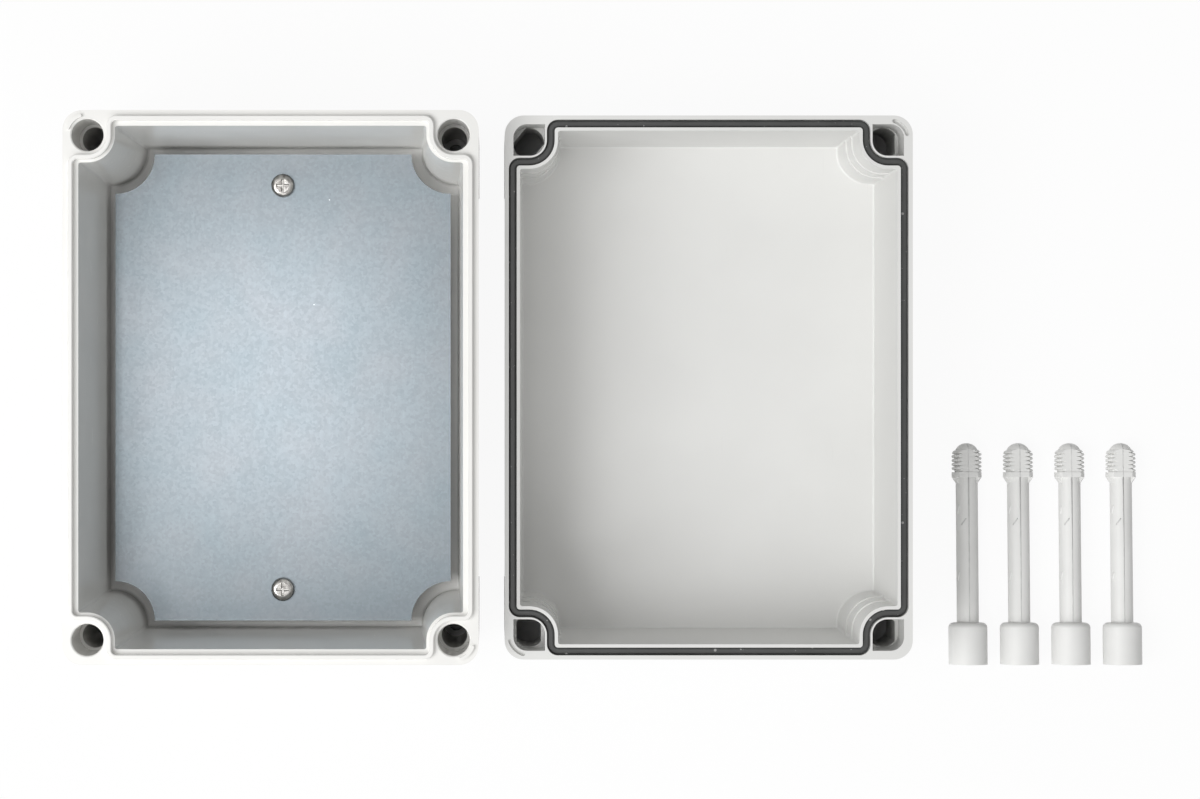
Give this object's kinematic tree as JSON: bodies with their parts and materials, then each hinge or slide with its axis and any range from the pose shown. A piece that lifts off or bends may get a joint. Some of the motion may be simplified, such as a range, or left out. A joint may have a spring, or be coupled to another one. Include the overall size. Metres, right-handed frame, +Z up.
{
  "type": "plastic project box",
  "caption": "Moulded project box laid open: deep base with metal mounting plate, lid with seal in its groove, and long plastic lid screws beside it.",
  "frame": {"origin": "centre of the base's underside", "axes": "+X along the base's short side towards the lid and the row of screws, +Y along its long side, +Z up out of the open base"},
  "size_m": [0.4047, 0.2068, 0.077],
  "materials": {
    "housing": "moulded light grey, semi-gloss",
    "lid_screws": "moulded light grey, satin",
    "seal": "dark grey foam rubber",
    "plate": "galvanised sheet with fine spangle",
    "plate_screws": "bright plated steel"
  },
  "bodies": {
    "root": {"base": "housing", "lid": "housing", "gasket": "seal", "mounting_plate": "plate", "plate_screw_1": "plate_screws", "plate_screw_2": "plate_screws", "lid_screw_1": "lid_screws", "lid_screw_2": "lid_screws", "lid_screw_3": "lid_screws", "lid_screw_4": "lid_screws"}
  },
  "joints": []
}
